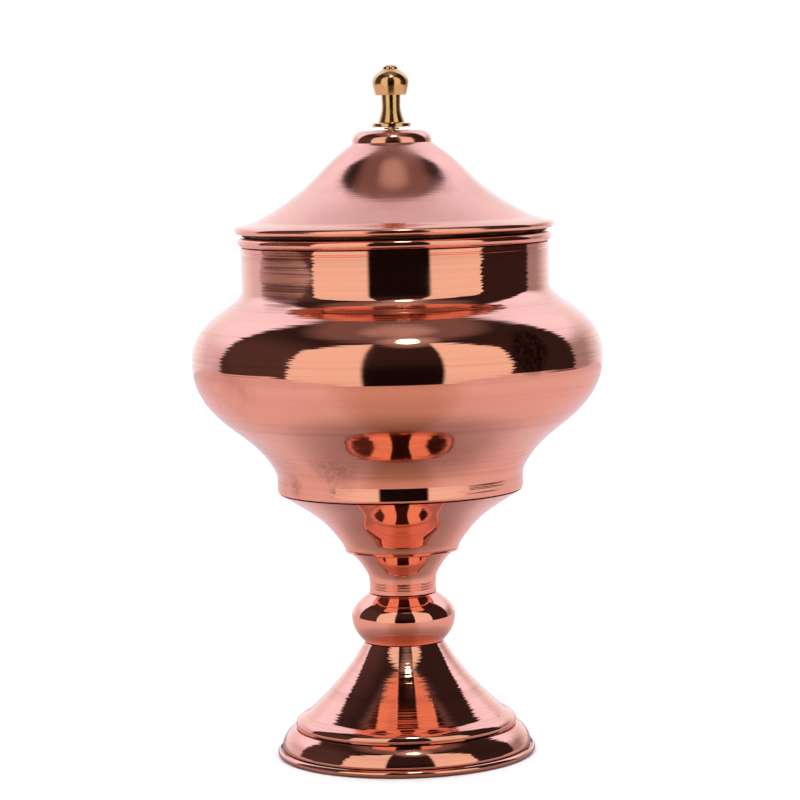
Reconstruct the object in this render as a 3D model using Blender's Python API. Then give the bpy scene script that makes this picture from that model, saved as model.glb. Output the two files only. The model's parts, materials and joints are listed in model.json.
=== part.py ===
"""Lidded pedestal bowl: spun copper on a turned stem, with a loose lid and a brass finial.

Metres, +Z up. The origin is on the axis, in the plane that the foot stands on.
Every piece is turned about that axis. Outlines are (radius, height) pairs in
millimetres, measured from the bottom of their own piece.
"""
import math

import bmesh
import bpy

MM = 0.001
GAP = 0.3  # between neighbours that touch, in millimetres like everything below
SEGMENTS = 28  # round every turned piece
SMALL_SEGMENTS = 16  # round the small hardware

# Stack, from the floor up
BASE_H = 10.8
CONE_H = 31.9
KNOP_H = 18.5
NECK_H = 15.5
CUP_H = 23.1
BOWL_H = 96.9
RIM_GAP = 1.2  # between the rolled edges of the bowl and the lid
LID_H = 37.6
FINIAL_H = 23.1

CONE_Z = BASE_H + GAP
KNOP_Z = CONE_Z + CONE_H + GAP
NECK_Z = KNOP_Z + KNOP_H + GAP
CUP_Z = NECK_Z + NECK_H + GAP
BOWL_Z = CUP_Z + CUP_H + GAP
LID_Z = BOWL_Z + BOWL_H + RIM_GAP

# Radii
FOOT_R = 49.1
JOINT_R = 15.1  # under the knop
STEM_R = 12.8
STEM_BORE_R = 7.0
BAND_R = 46.7  # band round the bowl's bottom
BELLY_R = 77.9
MOUTH_R = 58.2
RIM_R = 59.5
LID_R = 60.4
COLLAR_R = 54.8
FINIAL_R = 7.3

# Sheet and wire
BASE_SHEET = 0.6
SHEET = 0.8
LID_SHEET = 0.7
BASE_ROLL_R = 1.57
RIM_ROLL_R = 1.95
LID_ROLL_R = 1.55
WIRE_GAP = 0.3
HALF_FLAT = math.cos(math.pi / 8)  # an octagon's flat, as a share of its radius

# Fasteners
ROD_R = 2.0
ROD_HOLE_R = 2.3
ROD_BELOW = 7.7  # below the foot cone's top
ROD_ABOVE = 8.4  # above the bowl's bottom
WASHER_R = 6.0
WASHER_T = 1.0
NUT_R = 4.04  # across corners
NUT_T = 3.2
DOME_NUT_H = 8.0
DOME_HEX_H = 4.0
DOME_R = 3.2
DOME_HOLE_DEPTH = 6.4
SCREW_R = 1.5
SCREW_HOLE_R = 1.8
SCREW_L = 10.0
SCREW_HEAD_R = 2.8
SCREW_HEAD_T = 2.2
SCREW_SLOT_W = 0.8
SCREW_SLOT_D = 1.0
LID_WASHER_R = 5.0
LID_WASHER_T = 0.8
SPACER_R = 2.9
SPACER_T = 0.6
COLLAR_T = 0.8
COLLAR_DROP = 6.0  # below the lid's seat
COLLAR_TOP = 2.7
LIP_R = 57.6  # the collar's lip, which rests on the bowl's rolled edge
LIP_T = 0.7


def clear_scene():
    for obj in list(bpy.data.objects):
        bpy.data.objects.remove(obj, do_unlink=True)


def metal(name, colour, roughness):
    material = bpy.data.materials.new(name)
    material.use_nodes = True
    shader = material.node_tree.nodes["Principled BSDF"]
    shader.inputs["Base Color"].default_value = (*colour, 1.0)
    shader.inputs["Metallic"].default_value = 1.0
    shader.inputs["Roughness"].default_value = roughness
    return material


def smooth(points, steps):
    """A Catmull-Rom curve through the points, with that many steps between each two."""
    ends = [points[0], *points, points[-1]]
    curve = []
    for a, b, c, d in zip(ends, ends[1:], ends[2:], ends[3:]):
        for step in range(steps):
            t = step / steps
            curve.append(tuple(
                b[i] + 0.5 * t * (c[i] - a[i]
                + t * (2 * a[i] - 5 * b[i] + 4 * c[i] - d[i]
                + t * (3 * (b[i] - c[i]) + d[i] - a[i])))
                for i in range(2)
            ))
    curve.append(points[-1])
    return curve


def inset(path, thickness):
    """The path moved to its left, which is inward where it runs up the outside."""
    moved = []
    for i, point in enumerate(path):
        normals = []
        for a, b in zip(path[max(i - 1, 0):i + 1], path[max(i, 1):i + 2]):
            length = math.dist(a, b)
            normals.append(((a[1] - b[1]) / length, (b[0] - a[0]) / length))
        across = [sum(axis) / len(normals) for axis in zip(*normals)]
        scale = thickness / (across[0] ** 2 + across[1] ** 2)
        moved.append((point[0] + across[0] * scale, point[1] + across[1] * scale))
    return moved


def arc(centre, radius, start, end):
    """Corners of an octagon with flats at its top, bottom and sides, from start to end degrees."""
    count = round(abs(end - start) / 45)
    angles = [math.radians(start + (end - start) * i / count) for i in range(count + 1)]
    return [(centre[0] + radius * math.cos(a), centre[1] + radius * math.sin(a)) for a in angles]


def roll(centre, radius, thickness, root, tip):
    """A sheet's edge rolled about centre: its inner face out to the tip, its outer face back."""
    inner = arc(centre, radius - thickness, root, tip)
    return inner + arc(centre, radius, tip, root)


def spin(name, outline, material, segments=SEGMENTS, closed=True):
    """The outline turned about Z. An open outline starts and ends on the axis."""
    bm = bmesh.new()
    verts = [bm.verts.new((r * MM, 0.0, z * MM)) for r, z in outline]
    pairs = list(zip(verts, verts[1:]))
    if closed:
        pairs.append((verts[-1], verts[0]))
    edges = [bm.edges.new(pair) for pair in pairs]
    bmesh.ops.spin(
        bm, geom=verts + edges, cent=(0, 0, 0), axis=(0, 0, 1),
        angle=math.tau, steps=segments, use_merge=True, use_duplicate=False,
    )
    bmesh.ops.remove_doubles(bm, verts=bm.verts, dist=0.001 * MM)
    bmesh.ops.recalc_face_normals(bm, faces=bm.faces)
    return add_object(name, bm, material)


def add_object(name, bm, material):
    mesh = bpy.data.meshes.new(name)
    bm.to_mesh(mesh)
    bm.free()
    mesh.shade_smooth()
    mesh.set_sharp_from_angle(angle=math.radians(32))
    mesh.materials.append(material)
    obj = bpy.data.objects.new(name, mesh)
    bpy.context.collection.objects.link(obj)
    return obj


def place(obj, parent, height):
    obj.parent = parent
    obj.location = (0.0, 0.0, height * MM)


def wire(name, centre, roll_radius, thickness, material):
    """The wire inside a rolled edge."""
    radius = (roll_radius - thickness) * HALF_FLAT - WIRE_GAP
    angles = [math.tau * i / 6 for i in range(6)]
    outline = [(centre[0] + radius * math.cos(a), centre[1] + radius * math.sin(a)) for a in angles]
    return spin(name, outline, material)


def washer(name, outer, hole, thickness, material):
    outline = [(hole, 0), (outer, 0), (outer, thickness), (hole, thickness)]
    return spin(name, outline, material, SMALL_SEGMENTS)


# Foot

BASE_ROLL = (FOOT_R - BASE_ROLL_R * HALF_FLAT, BASE_ROLL_R * HALF_FLAT)


def foot_base_ring(copper):
    skirt = smooth([(47.5, 3.3), (46.9, 5.8), (45.5, 8.4), (43.2, BASE_H)], 2)
    ledge = [(38.5, BASE_H)]
    outside = skirt + ledge
    rolled = roll(BASE_ROLL, BASE_ROLL_R, BASE_SHEET, 157.5, 427.5)
    outline = outside + inset(outside, BASE_SHEET)[::-1] + rolled[::-1]
    return spin("foot_base_ring", outline, copper)


def foot_rim_wire(steel):
    return wire("foot_rim_wire", BASE_ROLL, BASE_ROLL_R, BASE_SHEET, steel)


def foot_cone(copper):
    bead = smooth([(41.9, 0), (42.0, 1.4), (41.3, 2.8), (39.7, 3.9)], 2)
    cone = smooth([
        (37.9, 4.8), (36.6, 6.0), (30.5, 11.9), (24.7, 18.3), (19.5, 24.9), (JOINT_R, CONE_H),
    ], 2)
    top = [(ROD_HOLE_R, CONE_H)]
    outside = bead + cone + top
    return spin("foot_cone", outside + inset(outside, SHEET)[::-1], copper)


# Stem

def stem_knop(copper):
    ball = smooth([
        (JOINT_R, 0), (17.8, 3.2), (19.4, 6.9), (19.6, 10.8), (17.9, 14.2), (15.3, 16.6), (STEM_R, KNOP_H),
    ], 2)
    return spin("stem_knop", ball + [(STEM_BORE_R, KNOP_H), (STEM_BORE_R, 0)], copper)


def stem_neck(copper):
    flare = smooth([(STEM_R, 0), (STEM_R, 4.4), (14.4, 9.0), (16.7, 12.3), (19.8, NECK_H)], 2)
    return spin("stem_neck", flare + [(STEM_BORE_R, NECK_H), (STEM_BORE_R, 0)], copper)


def lower_cup(copper):
    bottom = [(ROD_HOLE_R, 0), (21.0, 0), (21.7, 0.5)]
    dish = smooth([
        (22.0, 1.3), (24.1, 5.0), (26.3, 8.4), (29.9, 11.8), (34.3, 15.3), (40.4, 18.9), (46.2, CUP_H),
    ], 2)
    outside = bottom + dish
    inside = inset(outside, SHEET)
    lip = (inside[-1][0], CUP_H)
    return spin("lower_cup", outside + [lip] + inside[-2::-1], copper)


# Bowl

RIM_ROLL = (RIM_R - RIM_ROLL_R * HALF_FLAT, BOWL_H - RIM_ROLL_R * HALF_FLAT)


def bowl_shell(copper):
    bottom = [(ROD_HOLE_R, 0), (45.7, 0), (BAND_R, 1.0)]
    ogee = smooth([
        (BAND_R, 5.7), (48.3, 9.9), (56.2, 19.3), (66.9, 28.0), (74.8, 37.7), (BELLY_R, 49.5),
        (74.3, 61.5), (69.2, 66.8), (63.9, 70.7), (59.6, 74.1), (MOUTH_R, 76.9),
    ], 2)
    neck = [(MOUTH_R, 92.9)]
    outside = bottom + ogee + neck
    rolled = roll(RIM_ROLL, RIM_ROLL_R, SHEET, 202.5, -67.5)
    return spin("bowl_shell", outside + rolled + inset(outside, SHEET)[::-1], copper)


def bowl_rim_wire(steel):
    return wire("bowl_rim_wire", RIM_ROLL, RIM_ROLL_R, SHEET, steel)


# Lid

LID_ROLL = (LID_R - LID_ROLL_R * HALF_FLAT, LID_ROLL_R * HALF_FLAT)


def lid_shell(copper):
    flange = [(57.6, 3.1), (51.8, 4.5)]
    ogee = smooth([(51.2, 4.9), (47.2, 7.6), (36.0, 14.5), (26.9, 22.8), (20.3, 29.2), (15.9, 32.1)], 2)
    boss = smooth([(15.0, 32.9), (14.5, 35.2), (12.2, 37.2), (8.0, LID_H)], 2)
    outside = flange + ogee + boss + [(SCREW_HOLE_R, LID_H)]
    rolled = roll(LID_ROLL, LID_ROLL_R, LID_SHEET, 112.5, -157.5)
    return spin("lid_shell", outside + inset(outside, LID_SHEET)[::-1] + rolled, copper)


def lid_rim_wire(steel):
    return wire("lid_rim_wire", LID_ROLL, LID_ROLL_R, LID_SHEET, steel)


def lid_collar(copper):
    """A ring that drops into the mouth, with a lip that carries the lid."""
    inner = COLLAR_R - COLLAR_T
    lip = GAP - RIM_GAP
    outline = [
        (inner, -COLLAR_DROP), (COLLAR_R, -COLLAR_DROP), (COLLAR_R, lip), (LIP_R, lip),
        (LIP_R, lip + LIP_T), (COLLAR_R, lip + LIP_T), (COLLAR_R, COLLAR_TOP), (inner, COLLAR_TOP),
    ]
    return spin("lid_collar", outline, copper)


def finial(brass):
    flange = [(SCREW_HOLE_R, 0), (FINIAL_R, 0), (FINIAL_R, 1.4)]
    stem = smooth([(5.0, 1.7), (4.5, 3.3), (3.65, 6.2), (3.65, 11.9)], 2)
    head = smooth([(5.8, 11.9), (6.5, 14.6), (6.85, 16.6), (6.1, 18.9), (4.6, 20.4), (3.3, 21.3)], 2)
    button = [(2.8, 22.2), (2.0, 22.9), (0, FINIAL_H)]
    hole = [(0, 7.6), (SCREW_HOLE_R, 7.2)]
    outline = hole + flange + stem + head + button
    return spin("finial", outline, brass, closed=False)


def finial_spacer(brass):
    return washer("finial_spacer", SPACER_R, SCREW_HOLE_R, SPACER_T, brass)


def lid_screw(steel):
    """Slotted screw, measured from the top of its head, which faces down."""
    outline = [
        (0, 0), (2.2, 0), (SCREW_HEAD_R, 0.7), (SCREW_HEAD_R, SCREW_HEAD_T),
        (SCREW_R, SCREW_HEAD_T), (SCREW_R, SCREW_HEAD_T + SCREW_L - 0.5),
        (SCREW_R - 0.5, SCREW_HEAD_T + SCREW_L), (0, SCREW_HEAD_T + SCREW_L),
    ]
    screw = spin("lid_screw", outline, steel, SMALL_SEGMENTS, closed=False)
    cutter = screw_slot()
    cutter.parent = screw
    cut = screw.modifiers.new("slot", "BOOLEAN")
    cut.operation = "DIFFERENCE"
    cut.object = cutter
    return screw


def screw_slot():
    bm = bmesh.new()
    bmesh.ops.create_cube(bm, size=1.0)
    size = (4 * SCREW_HEAD_R * MM, SCREW_SLOT_W * MM, 2 * SCREW_SLOT_D * MM)
    bmesh.ops.scale(bm, vec=size, verts=bm.verts)
    mesh = bpy.data.meshes.new("screw_slot")
    bm.to_mesh(mesh)
    bm.free()
    cutter = bpy.data.objects.new("screw_slot", mesh)
    cutter.hide_render = True
    cutter.display_type = "WIRE"
    bpy.context.collection.objects.link(cutter)
    return cutter


# Fasteners of the stem

def tie_rod(steel):
    low = CONE_Z + CONE_H - ROD_BELOW
    high = BOWL_Z + ROD_ABOVE
    chamfer = 0.5
    outline = [
        (0, 0), (ROD_R - chamfer, 0), (ROD_R, chamfer), (ROD_R, high - low - chamfer),
        (ROD_R - chamfer, high - low), (0, high - low),
    ]
    return spin("tie_rod", outline, steel, SMALL_SEGMENTS, closed=False)


def hexagon_nut(name, height, hole_depth, dome, steel):
    """A hexagon turned from six flats, with a round hole cut through or part way up."""
    bm = bmesh.new()
    bmesh.ops.create_cone(
        bm, cap_ends=True, segments=6, radius1=NUT_R * MM, radius2=NUT_R * MM, depth=height * MM,
    )
    bmesh.ops.translate(bm, vec=(0, 0, height / 2 * MM), verts=bm.verts)
    nut = add_object(name, bm, steel)
    if dome:
        add_cut(nut, dome, "UNION")
    drill = spin(name + "_drill", [
        (0, -1), (ROD_HOLE_R, -1), (ROD_HOLE_R, hole_depth), (0, hole_depth),
    ], steel, SMALL_SEGMENTS, closed=False)
    add_cut(nut, drill, "DIFFERENCE")
    return nut


def add_cut(obj, tool, operation):
    tool.hide_render = True
    tool.display_type = "WIRE"
    tool.parent = obj
    cut = obj.modifiers.new(operation.lower(), "BOOLEAN")
    cut.operation = operation
    cut.object = tool


def bowl_nut(steel):
    low = DOME_HEX_H - 1.0
    cap = smooth([(DOME_R, DOME_HEX_H + 0.8), (2.6, 6.8), (0, DOME_NUT_H)], 2)
    dome = spin("dome", [(0, low), (DOME_R, low), *cap], steel, SMALL_SEGMENTS, closed=False)
    return hexagon_nut("bowl_nut", DOME_HEX_H, DOME_HOLE_DEPTH, dome, steel)


def foot_nut(steel):
    return hexagon_nut("foot_nut", NUT_T, NUT_T + 1, None, steel)


def build():
    clear_scene()
    copper = metal("copper", (0.90, 0.50, 0.38), 0.12)
    brass = metal("brass", (0.78, 0.58, 0.24), 0.18)
    steel = metal("steel", (0.62, 0.62, 0.60), 0.3)

    stand = bpy.data.objects.new("stand", None)
    bpy.context.collection.objects.link(stand)
    lid_lift = bpy.data.objects.new("lid_lift", None)
    lid_lift.location = (0.0, 0.0, LID_Z * MM)
    bpy.context.collection.objects.link(lid_lift)

    washer_z = BOWL_Z + SHEET + GAP
    foot_washer_z = CONE_Z + CONE_H - SHEET - GAP - WASHER_T
    for piece, height in (
        (foot_base_ring(copper), 0),
        (foot_rim_wire(steel), 0),
        (foot_cone(copper), CONE_Z),
        (stem_knop(copper), KNOP_Z),
        (stem_neck(copper), NECK_Z),
        (lower_cup(copper), CUP_Z),
        (bowl_shell(copper), BOWL_Z),
        (bowl_rim_wire(steel), BOWL_Z),
        (tie_rod(steel), CONE_Z + CONE_H - ROD_BELOW),
        (washer("bowl_washer", WASHER_R, ROD_HOLE_R, WASHER_T, steel), washer_z),
        (bowl_nut(steel), washer_z + WASHER_T + GAP),
        (washer("foot_washer", WASHER_R, ROD_HOLE_R, WASHER_T, steel), foot_washer_z),
        (foot_nut(steel), foot_washer_z - GAP - NUT_T),
    ):
        place(piece, stand, height)

    lid_washer_z = LID_H - LID_SHEET - GAP - LID_WASHER_T
    for piece, height in (
        (lid_shell(copper), 0),
        (lid_rim_wire(steel), 0),
        (lid_collar(copper), 0),
        (washer("lid_washer", LID_WASHER_R, SCREW_HOLE_R, LID_WASHER_T, steel), lid_washer_z),
        (lid_screw(steel), lid_washer_z - GAP - SCREW_HEAD_T),
        (finial_spacer(brass), LID_H + GAP),
        (finial(brass), LID_H + GAP + SPACER_T + GAP),
    ):
        place(piece, lid_lift, height)


build()
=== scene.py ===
"""Looks of the lidded pedestal bowl: polished spun copper, turned brass, a tinned inside.

Every piece is turned about the Z axis. Outlines are (radius, height) pairs in millimetres,
measured from the bottom of the CAD node that the piece stands for.
"""

import json
import math

import bmesh
import bpy
import numpy as np
from mathutils import Euler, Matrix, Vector


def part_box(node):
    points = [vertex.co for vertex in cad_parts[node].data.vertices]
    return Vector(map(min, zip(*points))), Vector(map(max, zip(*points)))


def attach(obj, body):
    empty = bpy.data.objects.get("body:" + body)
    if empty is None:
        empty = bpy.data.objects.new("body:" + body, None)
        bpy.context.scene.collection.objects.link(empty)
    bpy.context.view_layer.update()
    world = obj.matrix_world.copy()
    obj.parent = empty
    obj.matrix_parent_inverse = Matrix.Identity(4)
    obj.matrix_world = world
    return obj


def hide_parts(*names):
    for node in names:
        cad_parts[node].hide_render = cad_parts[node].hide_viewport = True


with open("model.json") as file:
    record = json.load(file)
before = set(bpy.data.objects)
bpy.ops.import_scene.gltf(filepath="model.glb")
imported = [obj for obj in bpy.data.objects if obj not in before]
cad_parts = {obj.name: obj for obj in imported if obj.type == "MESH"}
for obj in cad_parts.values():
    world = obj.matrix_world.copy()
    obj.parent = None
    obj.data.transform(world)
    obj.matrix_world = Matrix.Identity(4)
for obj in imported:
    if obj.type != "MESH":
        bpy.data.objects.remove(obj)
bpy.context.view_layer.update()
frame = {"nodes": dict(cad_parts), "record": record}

MM = 0.001
ROUND = 256  # segments round a large piece
SMALL_ROUND = 96  # round the finial
STEP = 0.7  # along a curved outline
SHARP_ANGLE = 38  # degrees, above which an edge isn't smoothed

# Sheet and rolled edges, as in the CAD
BASE_SHEET = 0.6
SHEET = 0.8
LID_SHEET = 0.7
BASE_ROLL_R = 1.57
RIM_ROLL_R = 1.95
LID_ROLL_R = 1.55
ROLL_FLAT = math.cos(math.pi / 8)  # a round roll that fits in the CAD's eight-sided one

# Radii
FOOT_R = 49.1
RIM_R = 59.5
LID_R = 60.4
MOUTH_R = 58.2
BAND_R = 46.7  # band round the bowl's bottom
BELLY_R = 77.9
JOINT_R = 15.1  # under the knop
STEM_R = 12.8
STEM_BORE_R = 7
ROD_HOLE_R = 2.3
SCREW_HOLE_R = 1.8

# Heights
BASE_H = 10.8
CONE_H = 31.9
KNOP_H = 18.5
NECK_H = 15.5
CUP_H = 23.1
BOWL_H = 96.9
LID_H = 37.6
FINIAL_H = 23.1

# Noise scales, in cells to the metre
BLOTCHES = 26.0
SMUDGES = 55.0
WOBBLE = 160.0
WAVES = 190.0
BANDS = 260.0
PITS = 420.0
MOTTLE = 620.0
LINES = 900.0
STREAKS = 1500.0
CHATTER = 2000.0

# Camera: place in metres, lens in millimetres and angles in degrees
CAMERA_AT = (0.0, -1.125, 0.2412)
CAMERA_LENS = 134.23
CAMERA_SENSOR = 36.0
CAMERA_DOWN = 5.388
CAMERA_TURN = -0.0326
CAMERA_ROLL = -1.41

# Studio: places in the view ahead, directions, and colours
WINDOWS_ACROSS = ((-1.95, -0.36), (0.48, 2.3))
WINDOWS_UP = (-0.6, 1.75)
WINDOW_SOFT = 0.03
LAMP_DIRECTION = (0.078, -0.44, 0.895)
OVERHEAD_DIRECTION = (0.01, -0.05, 1.0)
MIDDLE_LOW = (0.009, 0.006, 0.007, 1)
MIDDLE_HIGH = (0.034, 0.024, 0.026, 1)
ROOM_LEFT = (0.085, 0.062, 0.066, 1)
ROOM_RIGHT = (0.036, 0.024, 0.026, 1)
CEILING = (0.20, 0.15, 0.16, 1)
WINDOW_LIGHT = (0.98, 1.0, 0.96, 1)
BACKDROP_LEFT = (0.80, 0.86, 1.10, 1)
BACKDROP_RIGHT = (0.40, 0.40, 0.44, 1)
BACKDROP_HIGH = (0.74, 0.84, 1.12, 1)
BACKDROP_HIGH_SIDES = (1.10, 1.34, 1.84, 1)
BACKDROP_EDGE = (1.02, 1.12, 1.24, 1)
HALO_LIGHT = (1.0, 0.95, 0.95, 1)
LAMP_LIGHT = (14.0, 15.0, 16.0, 1)
OVERHEAD_LIGHT = (0.50, 0.46, 0.47, 1)
WHITE = (1.0, 1.0, 1.0, 1)

# The table as the camera sees it, and as the metal mirrors it, with painted shade in front of the bowl and a
# painted shadow close round its foot
TABLE = (0.93, 0.93, 0.93, 1)
TABLE_MIRRORED = (0.55, 0.49, 0.52, 1)
TABLE_AHEAD_PAINTED_SHADE = (0.43, 0.33, 0.285, 1)
TABLE_SHADE = (0.0, 0.0, 0.0, 1)


# Outlines

def spline(points, start=None, end=None, step=STEP):
    """A cubic spline through the points, as a list. start and end are its directions there."""
    p = np.array(points, float)
    t = np.concatenate([[0], np.cumsum(np.hypot(*np.diff(p, axis=0).T))])
    h = np.diff(t)
    n = len(p)
    a = np.zeros((n, n))
    b = np.zeros((n, 2))
    for i in range(1, n - 1):
        a[i, i - 1:i + 2] = h[i - 1], 2 * (h[i - 1] + h[i]), h[i]
        b[i] = 6 * ((p[i + 1] - p[i]) / h[i] - (p[i] - p[i - 1]) / h[i - 1])
    for i, j, direction, sign in ((0, 0, start, 1), (n - 1, n - 2, end, -1)):
        a[i, i] = 1
        if direction is not None:
            unit = np.array(direction, float) / math.hypot(*direction)
            a[i, i], a[i, i + sign] = 2 * h[j], h[j]
            b[i] = 6 * sign * ((p[j + 1] - p[j]) / h[j] - unit)
    m = np.linalg.solve(a, b)
    out = []
    for i in range(n - 1):
        count = max(2, math.ceil(h[i] / step))
        for k in range(count):
            u = k / count
            w = 1 - u
            q = w * p[i] + u * p[i + 1] + h[i] ** 2 / 6 * ((w ** 3 - w) * m[i] + (u ** 3 - u) * m[i + 1])
            out.append(tuple(q))
    out.append(tuple(p[-1]))
    return out


def arc(centre, radius, start, end, step=12):
    """Points on an arc from start to end degrees."""
    count = max(2, math.ceil(abs(end - start) / step))
    angles = [math.radians(start + (end - start) * i / count) for i in range(count + 1)]
    return [(centre[0] + radius * math.cos(a), centre[1] + radius * math.sin(a)) for a in angles]


def inset(path, thickness):
    """The path moved to its left, which is inward where it runs up the outside."""
    moved = []
    for i, point in enumerate(path):
        normals = []
        for a, b in zip(path[max(i - 1, 0):i + 1], path[max(i, 1):i + 2]):
            length = math.dist(a, b)
            normals.append(((a[1] - b[1]) / length, (b[0] - a[0]) / length))
        across = [sum(axis) / len(normals) for axis in zip(*normals)]
        scale = thickness / (across[0] ** 2 + across[1] ** 2)
        moved.append((point[0] + across[0] * scale, point[1] + across[1] * scale))
    return moved


def roll(centre, radius, thickness, root, tip):
    """A sheet's edge rolled about centre: its inner face out to the tip, its outer face back."""
    return arc(centre, radius - thickness, root, tip) + arc(centre, radius, tip, root)


# Meshes

def lathe(name, outline, node, body, materials, inside=None, segments=ROUND, closed=True):
    """The outline turned about Z, standing where the node stands.

    inside is the range of outline points whose faces take the second material.
    """
    base = Z0[node]
    angles = np.linspace(0, math.tau, segments, endpoint=False)
    rim = np.stack([np.cos(angles), np.sin(angles)], 1)
    verts, rings = [], []
    for r, z in outline:
        if r < 1e-6:
            rings.append([len(verts)] * segments)
            verts.append((0.0, 0.0, base + z * MM))
            continue
        rings.append(list(range(len(verts), len(verts) + segments)))
        verts += [(x * r * MM, y * r * MM, base + z * MM) for x, y in rim]
    if closed:
        rings.append(rings[0])
    faces, slots = [], []
    for i, (low, high) in enumerate(zip(rings, rings[1:])):
        second = inside is not None and inside[0] <= i < inside[1]
        for j in range(segments):
            k = (j + 1) % segments
            face = list(dict.fromkeys((low[j], low[k], high[k], high[j])))
            faces.append(face)
            slots.append(int(second))
    mesh = bpy.data.meshes.new(name)
    mesh.from_pydata(verts, [], faces)
    mesh.polygons.foreach_set("material_index", slots)
    return finish_piece(name, mesh, node, body, materials)


def finish_piece(name, mesh, node, body, materials):
    bm = bmesh.new()
    bm.from_mesh(mesh)
    bmesh.ops.recalc_face_normals(bm, faces=bm.faces)
    bm.to_mesh(mesh)
    bm.free()
    mesh.shade_smooth()
    mesh.set_sharp_from_angle(angle=math.radians(SHARP_ANGLE))
    for material in materials:
        mesh.materials.append(material)
    obj = bpy.data.objects.new(name, mesh)
    bpy.context.scene.collection.objects.link(obj)
    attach(obj, body)
    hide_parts(node)
    return obj


# Materials

class Graph:
    """Short calls for building a node tree."""

    def __init__(self, tree):
        self.tree = tree

    def node(self, kind, **settings):
        node = self.tree.nodes.new(kind)
        for key, value in settings.items():
            setattr(node, key, value)
        return node

    def link(self, value, socket):
        if isinstance(value, bpy.types.NodeSocket):
            self.tree.links.new(value, socket)
        else:
            socket.default_value = value

    def math(self, operation, a, b=0.0):
        node = self.node("ShaderNodeMath", operation=operation)
        for value, socket in zip((a, b), node.inputs):
            self.link(value, socket)
        return node.outputs[0]

    def xyz(self, vector):
        node = self.node("ShaderNodeSeparateXYZ")
        self.link(vector, node.inputs[0])
        return node.outputs

    def hypot(self, x, y):
        return self.math("SQRT", self.math("ADD", self.math("MULTIPLY", x, x), self.math("MULTIPLY", y, y)))

    def towards(self, vector, direction):
        """The cosine of the angle between the vector and a fixed direction."""
        node = self.node("ShaderNodeVectorMath", operation="DOT_PRODUCT")
        self.link(vector, node.inputs[0])
        node.inputs[1].default_value = Vector(direction).normalized()
        return node.outputs["Value"]

    def ramp(self, value, low, high, to_low=0.0, to_high=1.0):
        node = self.node("ShaderNodeMapRange", interpolation_type="SMOOTHSTEP")
        for v, name in ((value, "Value"), (low, "From Min"), (high, "From Max"),
                        (to_low, "To Min"), (to_high, "To Max")):
            self.link(v, node.inputs[name])
        return node.outputs["Result"]

    def mix(self, factor, a, b):
        node = self.node("ShaderNodeMix", data_type="RGBA")
        self.link(factor, node.inputs["Factor"])
        self.link(a, node.inputs[6])
        self.link(b, node.inputs[7])
        return node.outputs[2]

    def noise(self, vector, scale, detail=2.0, roughness=0.5):
        node = self.node("ShaderNodeTexNoise")
        self.link(vector, node.inputs["Vector"])
        node.inputs["Scale"].default_value = scale
        node.inputs["Detail"].default_value = detail
        node.inputs["Roughness"].default_value = roughness
        return node.outputs["Fac"]

    def combine(self, x, y, z):
        node = self.node("ShaderNodeCombineXYZ")
        for value, socket in zip((x, y, z), node.inputs):
            self.link(value, socket)
        return node.outputs[0]


def turned_coordinates(g):
    """Object position, and the same place as (radius, height, a little of the angle)."""
    position = g.node("ShaderNodeTexCoord").outputs["Object"]
    x, y, z = g.xyz(position)
    angle = g.math("ARCTAN2", y, x)
    turned = g.combine(g.hypot(x, y), z, g.math("MULTIPLY", g.math("SINE", angle), 0.0006))
    return position, turned


def new_material(name):
    material = bpy.data.materials.new(name)
    material.use_nodes = True
    g = Graph(material.node_tree)
    return material, g, material.node_tree.nodes["Principled BSDF"]


def patch(g, position, centre, radius, soft):
    """One inside a sphere round a place on the surface, fading to nought over soft."""
    node = g.node("ShaderNodeVectorMath", operation="DISTANCE")
    g.link(position, node.inputs[0])
    node.inputs[1].default_value = centre
    wobble = g.math("SUBTRACT", g.noise(position, WOBBLE, 3.0, 0.6), 0.5)
    away = g.math("ADD", node.outputs["Value"], g.math("MULTIPLY", wobble, soft))
    return g.ramp(away, radius - soft / 2, radius + soft / 2, 1.0, 0.0)


def chatter(g, position, turned, amount):
    """The normal turned a little to either side, line by line, away from the front."""
    geometry = g.node("ShaderNodeNewGeometry")
    x, y, _ = g.xyz(position)
    radius = g.hypot(x, y)
    sideways = g.math("ABSOLUTE", g.math("DIVIDE", x, radius))
    swing = g.math("SUBTRACT", g.noise(turned, CHATTER, 1.0, 0.6), 0.5)
    swing = g.math("MULTIPLY", swing, g.math("DIVIDE", g.ramp(sideways, 0.25, 0.55, 0.0, amount), radius))
    backwards = g.math("MULTIPLY", y, -1.0)
    shift = g.combine(g.math("MULTIPLY", backwards, swing), g.math("MULTIPLY", x, swing), 0.0)
    add = g.node("ShaderNodeVectorMath", operation="ADD")
    g.link(geometry.outputs["Normal"], add.inputs[0])
    g.link(shift, add.inputs[1])
    unit = g.node("ShaderNodeVectorMath", operation="NORMALIZE")
    g.link(add.outputs[0], unit.inputs[0])
    return unit.outputs[0]


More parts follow.
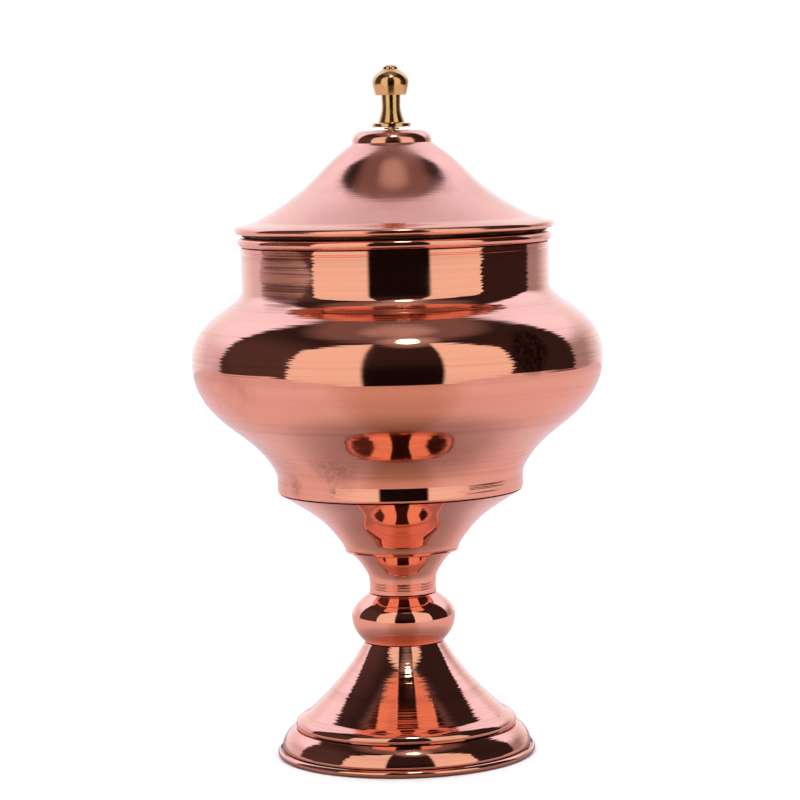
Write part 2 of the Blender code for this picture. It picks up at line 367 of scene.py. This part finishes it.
def polished_metal(name, colour, tarnish, rough, line_depth, wave_depth=0.00002, spots=0.4, bands=0.0,
                   swing=0.0, stains_and_painted_reflection=(), hazes=(), metallic=1.0):
    """Polished metal with turning lines, faint blotches and bands, small pits, stains and painted
    reflections, and dull patches.

    line_depth and wave_depth are in metres. swing is the strength of the chatter.
    """
    material, g, shader = new_material(name)
    position, turned = turned_coordinates(g)
    shader.inputs["Metallic"].default_value = metallic

    blotch = g.ramp(g.noise(position, BLOTCHES, 4.0, 0.6), 0.52, 0.8)
    pit = g.ramp(g.noise(position, PITS, 1.0), 0.80, 0.86)
    shade = g.mix(g.math("MULTIPLY", blotch, spots), (*colour, 1.0), (*tarnish, 1.0))
    band = g.ramp(g.noise(turned, BANDS, 3.0, 0.7), 0.45, 0.75, 0.0, bands)
    shade = g.mix(band, shade, (*tarnish, 1.0))
    dark = tuple(0.35 * c for c in tarnish)
    mottle = g.ramp(g.noise(position, MOTTLE, 2.0), 0.42, 0.62, 1.0, 0.45)
    # Each of these darkens the colour: real stains, and on the bowl also one painted reflection of a dark
    # thing
    for centre, radius, soft, depth in stains_and_painted_reflection:
        strength = g.math("MULTIPLY", mottle, depth)
        stain_and_painted_reflection = g.math("MULTIPLY", patch(g, position, centre, radius, soft), strength)
        shade = g.mix(stain_and_painted_reflection, shade, (*dark, 1.0))
    g.link(g.mix(pit, shade, (*dark, 1.0)), shader.inputs["Base Color"])

    dull = g.ramp(g.noise(position, SMUDGES, 5.0, 0.62), 0.35, 0.75, rough, rough * 2.2)
    for centre, radius, soft, depth in hazes:
        streak = g.ramp(g.noise(turned, STREAKS, 2.0, 0.7), 0.35, 0.6, 0.3, 1.0)
        haze = g.math("MULTIPLY", patch(g, position, centre, radius, soft), streak)
        dull = g.math("ADD", dull, g.math("MULTIPLY", haze, depth))
    g.link(dull, shader.inputs["Roughness"])

    bump = g.node("ShaderNodeBump")
    bump.inputs["Strength"].default_value = 1.0
    bump.inputs["Distance"].default_value = line_depth
    g.link(g.noise(turned, LINES, 2.0, 0.6), bump.inputs["Height"])
    if swing:
        g.link(chatter(g, position, turned, swing), bump.inputs["Normal"])
    broad = g.node("ShaderNodeBump")
    broad.inputs["Strength"].default_value = 1.0
    broad.inputs["Distance"].default_value = wave_depth
    g.link(g.noise(turned, WAVES, 0.0), broad.inputs["Height"])
    g.link(bump.outputs[0], broad.inputs["Normal"])
    g.link(broad.outputs[0], shader.inputs["Normal"])
    return material


COPPER = (0.93, 0.40, 0.27)
COPPER_TARNISH = (0.62, 0.25, 0.17)
# Near-black copper for the lid collar: painted shade, standing for the shade in the gap under the lid's
# rolled rim
GAP_SHADE_PAINTED = (0.09, 0.05, 0.035)
GAP_SHADE_PAINTED_TARNISH = (0.04, 0.025, 0.02)
BRASS = (0.79, 0.44, 0.18)
BRASS_TARNISH = (0.42, 0.24, 0.09)
TIN = (0.72, 0.71, 0.68)
TIN_TARNISH = (0.50, 0.49, 0.46)
STEEL = (0.62, 0.61, 0.59)
STEEL_TARNISH = (0.35, 0.33, 0.30)

# Stains and dull patches on the bowl: centre, radius and softness in metres, and strength. The first stain is
# a painted reflection, a dark speckled patch on the belly's right standing for a dark thing the copper
# mirrors
WORN_STAINS_AND_PAINTED_REFLECTION = (
    # Painted reflection, mottled: a dark thing in the room mirrored on the belly's right
    ((0.047, -0.060, 0.157), 0.0082, 0.004, 0.95),
    ((-0.040, -0.027, 0.106), 0.0035, 0.005, 0.6),
    ((-0.024, -0.043, 0.113), 0.007, 0.012, 0.45),
    ((-0.040, -0.026, 0.117), 0.005, 0.010, 0.3),
    ((-0.058, -0.036, 0.122), 0.006, 0.012, 0.25),
    ((-0.060, -0.030, 0.131), 0.0008, 0.001, 0.9),
    ((-0.048, -0.050, 0.136), 0.0007, 0.001, 0.9),
)
WORN_HAZES = (((-0.0418, -0.0405, 0.185), 0.0135, 0.005, 0.36),)


def make_materials():
    return {
        "copper": polished_metal("copper_polished", COPPER, COPPER_TARNISH, rough=0.035, line_depth=0.000012),
        "lined": polished_metal(
            "copper_turned", COPPER, COPPER_TARNISH, rough=0.035, line_depth=0.00004, bands=0.5, swing=0.09),
        # The bowl's copper carries a painted reflection among its stains
        "worn": polished_metal(
            "copper_worn_and_painted_reflection", COPPER, COPPER_TARNISH, rough=0.04, line_depth=0.00003, spots=0.9, bands=0.45,
            swing=0.09, stains_and_painted_reflection=WORN_STAINS_AND_PAINTED_REFLECTION, hazes=WORN_HAZES),
        "satin": polished_metal("copper_satin", COPPER, COPPER_TARNISH, rough=0.11, line_depth=0.00002),
        # Painted shade: the lid collar is made near-black so the gap under the lid reads dark
        "painted_gap_shade": polished_metal("copper_painted_gap_shade", GAP_SHADE_PAINTED, GAP_SHADE_PAINTED_TARNISH, rough=0.45, line_depth=0.00002),
        "brass": polished_metal("brass_turned", BRASS, BRASS_TARNISH, rough=0.13, line_depth=0.00001),
        "tin": polished_metal("tin_lining", TIN, TIN_TARNISH, rough=0.24, line_depth=0.00003, metallic=0.7),
        "steel": polished_metal("steel_plain", STEEL, STEEL_TARNISH, rough=0.25, line_depth=0.00001),
    }


# Pieces, from the foot up

def foot_base_ring(m):
    roll_r = BASE_ROLL_R * ROLL_FLAT
    centre = (FOOT_R - roll_r, roll_r)
    skirt = spline([(47.5, 3.1), (46.9, 5.8), (45.5, 8.4), (43.2, BASE_H)], start=(0.0, 1.0))
    outside = skirt + [(38.5, BASE_H)]
    rolled = roll(centre, roll_r, BASE_SHEET, 157.5, 427.5)
    outline = outside + inset(outside, BASE_SHEET)[::-1] + rolled[::-1]
    return lathe("foot_base", outline, "foot_base_ring", "bowl", [m["lined"]])


def foot_cone(m):
    bead = spline([(41.9, 0), (42.0, 1.4), (41.3, 2.8), (39.7, 3.9)], step=0.4)
    cone = spline(
        [(37.9, 4.8), (36.6, 6.0), (30.5, 11.9), (24.7, 18.3), (19.5, 24.9), (JOINT_R, CONE_H)], step=0.5)
    outside = bead + cone + [(ROD_HOLE_R, CONE_H)]
    outline = outside + inset(outside, SHEET)[::-1]
    return lathe("foot_upper", outline, "foot_cone", "bowl", [m["lined"]])


def stem_knop(m):
    ball = spline([
        (JOINT_R, 0), (17.8, 3.2), (19.4, 6.9), (19.6, 10.8), (17.9, 14.2), (15.3, 16.6), (STEM_R, KNOP_H),
    ])
    outline = ball + [(STEM_BORE_R, KNOP_H), (STEM_BORE_R, 0)]
    return lathe("knop", outline, "stem_knop", "bowl", [m["copper"]])


def stem_neck(m):
    grooves = []
    for z in (1.9, 2.9, 3.9):
        grooves += [(STEM_R, z - 0.32), (12.55, z - 0.1), (12.55, z + 0.1), (STEM_R, z + 0.32)]
    flare = [(STEM_R, 0)] + grooves + spline(
        [(STEM_R, 4.8), (14.4, 9.0), (16.7, 12.3), (19.8, NECK_H)], start=(0, 1))
    outline = flare + [(STEM_BORE_R, NECK_H), (STEM_BORE_R, 0)]
    return lathe("neck", outline, "stem_neck", "bowl", [m["copper"]])


def lower_cup(m):
    bottom = [(ROD_HOLE_R, 0), (21.3, 0), (21.65, 0.2), (21.8, 0.5), (21.65, 0.8), (21.35, 1.0)]
    dish = spline(
        [(21.8, 1.3), (24.1, 5.2), (28.3, 10.3), (34.0, 15.2), (40.4, 19.4), (46.2, CUP_H)], start=(0.3, 1))
    outside = bottom + dish
    inside = inset(outside, SHEET)
    lip = (inside[-1][0], CUP_H)
    return lathe("cup", outside + [lip] + inside[-2::-1], "lower_cup", "bowl", [m["copper"]])


def bowl_shell(m):
    roll_r = RIM_ROLL_R * ROLL_FLAT
    centre = (RIM_R - roll_r, BOWL_H - roll_r)
    bottom = [(ROD_HOLE_R, 0), (30, 0)] + arc((BAND_R - 1.0, 1.0), 1.0, -90, 0)
    band = [(BAND_R, 2), (BAND_R, 3), (BAND_R, 4), (BAND_R, 5.4)]
    ogee = spline([
        (BAND_R, 5.7), (48.3, 9.9), (56.2, 19.3), (66.9, 28.0), (74.8, 37.7), (BELLY_R, 49.5),
        (74.3, 61.5), (69.2, 66.8), (63.9, 70.7), (59.6, 74.1), (MOUTH_R, 76.9),
    ], start=(0.1, 1), end=(0, 1))
    neck = [(MOUTH_R, 78 + i) for i in range(12)] + [
        (MOUTH_R, 90.8), (MOUTH_R - 0.3, 91.1), (MOUTH_R - 0.3, 91.4), (MOUTH_R, 91.7), (MOUTH_R, 92.9)]
    outside = bottom + band + ogee + neck
    inside = inset(outside, SHEET)
    rolled = roll(centre, roll_r, SHEET, 202.5, -67.5)
    outline = outside + rolled + inside[::-1]
    first = len(outside) + len(rolled)
    return lathe(
        "bowl", outline, "bowl_shell", "bowl", [m["worn"], m["tin"]],
        inside=(first - 1, len(outline)))


def lid_shell(m):
    roll_r = LID_ROLL_R * ROLL_FLAT
    centre = (LID_R - roll_r, roll_r)
    flange = [(57.6, 3.1), (54.6, 3.8), (51.8, 4.5)]
    ogee = spline([
        (51.2, 4.9), (46.8, 7.4), (42.6, 9.9), (36.4, 14.1), (29.6, 20.0), (22.8, 26.7), (15.9, 32.1),
    ])
    boss = spline([(15.0, 32.9), (14.5, 35.2), (12.2, 37.2), (8.0, LID_H)], start=(0.1, 1), end=(-1, 0.02))
    outside = flange + ogee + boss + [(SCREW_HOLE_R, LID_H)]
    rolled = roll(centre, roll_r, LID_SHEET, 112.5, -157.5)
    inside = inset(outside, LID_SHEET)
    outline = outside + inside[::-1] + rolled
    return lathe(
        "lid", outline, "lid_shell", "lid", [m["satin"], m["tin"]],
        inside=(len(outside), len(outside) + len(inside)))


def finial(m):
    flange = [(SCREW_HOLE_R, 0), (7.1, 0), (7.3, 0.2), (7.3, 1.2), (7.1, 1.4)]
    stem = spline([(5.0, 1.7), (4.5, 3.3), (3.65, 6.2), (3.65, 11.9)], end=(0, 1), step=0.3)
    head = spline(
        [(5.8, 11.9), (6.5, 14.6), (6.85, 16.6), (6.1, 18.9), (4.6, 20.4), (3.3, 21.3)],
        start=(0.3, 1), step=0.3)
    button = spline([(2.8, 21.6), (2.8, 22.2), (2.0, 22.85), (0, FINIAL_H - 0.03)], end=(-1, 0), step=0.2)
    outline = [(0, 7.6), (SCREW_HOLE_R, 7.2)] + flange + stem + head + button
    return lathe(
        "finial_knob", outline, "finial", "lid", [m["brass"]], segments=SMALL_ROUND, closed=False)


def carried_over(m):
    """Finishes for the CAD nodes. Those that no piece replaces are seen with their own shape; the lid collar
    takes a near-black copper, painted shade for the dark gap under the lid's rim.
    """
    for name, node in frame["nodes"].items():
        slot = next(s["material_slot"] for s in frame["record"]["subparts"] if s["node"] == name)
        for i in range(len(node.material_slots)):
            # The lid collar gets painted shade: near-black copper where the gap under the lid is dark
            node.material_slots[i].material = m["painted_gap_shade" if name == "lid_collar" else slot]


# Stage

def make_world():
    world = bpy.data.worlds.new("studio")
    bpy.context.scene.world = world
    world.use_nodes = True
    tree = world.node_tree
    tree.nodes.clear()
    g = Graph(tree)
    direction = g.node("ShaderNodeTexCoord").outputs["Generated"]
    x, y, z = g.xyz(direction)

    forward = g.math("MAXIMUM", g.math("MULTIPLY", y, -1.0), 0.02)
    u = g.math("DIVIDE", x, forward)
    v = g.math("DIVIDE", z, forward)
    in_front = g.ramp(y, -0.08, -0.05, 1.0, 0.0)

    def between(value, low, high):
        rise = g.ramp(value, low - WINDOW_SOFT, low + WINDOW_SOFT)
        return g.math("MULTIPLY", rise, g.ramp(value, high - WINDOW_SOFT, high + WINDOW_SOFT, 1.0, 0.0))

    def window(left, right):
        opening = g.math("MULTIPLY", between(u, left, right), between(v, *WINDOWS_UP))
        return g.math("MULTIPLY", opening, in_front)

    windows = g.math("ADD", *[window(*across) for across in WINDOWS_ACROSS])
    windows = g.math("MINIMUM", windows, 1.0)
    backdrop = g.ramp(g.math("ADD", y, g.ramp(z, 0.7, 0.95, 0.0, 0.09)), 0.40, 0.46)
    ceiling = g.ramp(z, 0.84, 0.94)

    middle = g.mix(g.ramp(z, 0.0, 0.5), MIDDLE_LOW, MIDDLE_HIGH)
    room = g.mix(g.ramp(x, -0.85, -0.5), ROOM_LEFT, middle)
    room = g.mix(g.ramp(x, 0.5, 0.85), room, ROOM_RIGHT)
    room = g.mix(ceiling, room, CEILING)
    room = g.mix(windows, room, WINDOW_LIGHT)
    side = g.mix(g.ramp(x, -0.1, 0.5), BACKDROP_LEFT, BACKDROP_RIGHT)
    high = g.mix(g.ramp(g.math("ABSOLUTE", x), 0.1, 0.5), BACKDROP_HIGH, BACKDROP_HIGH_SIDES)
    side = g.mix(g.ramp(z, 0.2, 0.5), side, high)
    room = g.mix(backdrop, room, g.mix(g.ramp(y, 0.6, 0.96), side, BACKDROP_EDGE))

    def glow(direction_to, wide, narrow, strength=1.0):
        """Light round a direction, rising from nought at the wide angle to its strength at the narrow one."""
        wide, narrow = math.cos(math.radians(wide)), math.cos(math.radians(narrow))
        return g.ramp(g.towards(direction, direction_to), wide, narrow, 0.0, strength)

    room = g.mix(glow(LAMP_DIRECTION, 16.0, 4.0, 0.4), room, HALO_LIGHT)
    room = g.mix(glow(LAMP_DIRECTION, 5.5, 3.0), room, LAMP_LIGHT)
    room = g.mix(glow(OVERHEAD_DIRECTION, 15.0, 2.0), room, OVERHEAD_LIGHT)

    seen = g.node("ShaderNodeLightPath").outputs["Is Camera Ray"]
    background = g.node("ShaderNodeBackground")
    g.link(g.mix(seen, room, WHITE), background.inputs["Color"])
    output = g.node("ShaderNodeOutputWorld")
    g.link(background.outputs[0], output.inputs["Surface"])


def make_floor():
    """A white table. The metal mirrors its top, with painted shade in front of the bowl and a painted shadow
    round its foot; beyond that only the camera sees it.
    """
    material, g, shader = new_material("white_table")
    shader.inputs["Roughness"].default_value = 0.9
    shader.inputs["Specular IOR Level"].default_value = 0.0
    x, y, _ = g.xyz(g.node("ShaderNodeTexCoord").outputs["Object"])
    distance = g.hypot(x, y)
    ahead = g.math("DIVIDE", g.math("MULTIPLY", y, -1.0), g.math("MAXIMUM", distance, 0.001))
    # Painted shade: the mirrored table is darker in front of the bowl, on the -Y side
    mirrored_with_painted_shade = g.mix(g.ramp(ahead, 0.74, 0.98), TABLE_MIRRORED, TABLE_AHEAD_PAINTED_SHADE)
    # Painted shadow: the mirrored table is darker close round the bowl's foot
    mirrored_with_painted_shade = g.mix(g.ramp(distance, 0.05, 0.14), g.mix(0.4, mirrored_with_painted_shade, TABLE_SHADE), mirrored_with_painted_shade)
    mirrored = g.node("ShaderNodeLightPath").outputs["Is Glossy Ray"]
    g.link(g.mix(mirrored, TABLE, mirrored_with_painted_shade), shader.inputs["Base Color"])
    for name, (left, front), (right, back), z in (
            ("table_top", (-1.4, -0.44), (0.9, 1.2), 0.0), ("table_far", (-6, -6), (6, 6), -0.0005)):
        mesh = bpy.data.meshes.new(name)
        corners = [(left, front, z), (right, front, z), (right, back, z), (left, back, z)]
        mesh.from_pydata(corners, [], [(0, 1, 2, 3)])
        mesh.materials.append(material)
        obj = bpy.data.objects.new(name, mesh)
        bpy.context.scene.collection.objects.link(obj)
        if name == "table_far":
            obj.visible_glossy = False


def make_lights():
    """Soft light from above for the table. The metal doesn't mirror it."""
    data = bpy.data.lights.new("overhead", "SUN")
    data.energy = 3.1
    data.angle = math.radians(100)
    lamp = bpy.data.objects.new("overhead", data)
    lamp.visible_glossy = False
    lamp.visible_camera = False
    bpy.context.scene.collection.objects.link(lamp)


def make_camera():
    data = bpy.data.cameras.new("camera")
    data.lens = CAMERA_LENS
    data.sensor_width = CAMERA_SENSOR
    camera = bpy.data.objects.new("camera", data)
    camera.location = CAMERA_AT
    camera.rotation_euler = Euler((math.radians(90 - CAMERA_DOWN), 0.0, math.radians(CAMERA_TURN)))
    camera.rotation_euler.rotate_axis("Z", math.radians(CAMERA_ROLL))
    bpy.context.scene.collection.objects.link(camera)
    bpy.context.scene.camera = camera
    bpy.context.scene.view_settings.view_transform = "Standard"


Z0 = {name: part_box(name)[0].z for name in frame["nodes"]}
materials = make_materials()
make_camera()
make_world()
make_lights()
make_floor()
carried_over(materials)
for build in (foot_base_ring, foot_cone, stem_knop, stem_neck, lower_cup, bowl_shell, lid_shell, finial):
    build(materials)
